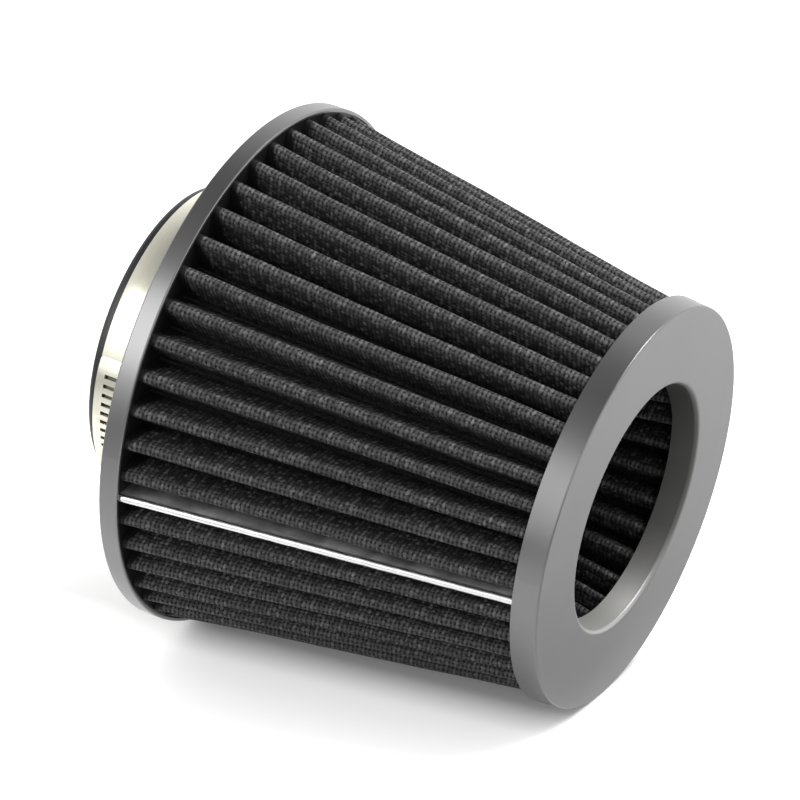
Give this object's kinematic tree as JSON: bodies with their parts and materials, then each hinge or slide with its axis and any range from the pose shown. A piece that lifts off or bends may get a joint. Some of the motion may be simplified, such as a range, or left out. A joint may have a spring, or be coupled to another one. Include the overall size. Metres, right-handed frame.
{
  "type": "cone air filter",
  "caption": "Conical pleated dry air filter with an inverted inner cone, grey base ring and open end cap, and a rubber neck with a worm-drive hose clamp.",
  "frame": {"origin": "centre of the neck's mouth, the plane that the filter stands on", "axes": "+Z along the filter's axis from the neck to the open end cap, +X towards the side nearest the seam"},
  "size_m": [0.15, 0.15, 0.1471],
  "materials": {
    "satin_grey": "satin",
    "black_rubber": "semi-matte",
    "black_mesh": "woven",
    "bright_strip": "bright",
    "stainless": "bright rolled"
  },
  "bodies": {
    "root": {"base_ring": "satin_grey", "neck_flange": "black_rubber", "outer_pleats": "black_mesh", "outer_seam_clip": "bright_strip", "end_cap": "satin_grey", "cap_potting": "black_rubber", "inner_pleats": "black_mesh", "inner_seam_clip": "bright_strip", "inner_end_plate": "black_rubber", "clamp_band": "stainless", "clamp_saddle": "stainless", "clamp_housing": "stainless", "clamp_screw": "stainless"}
  },
  "joints": []
}
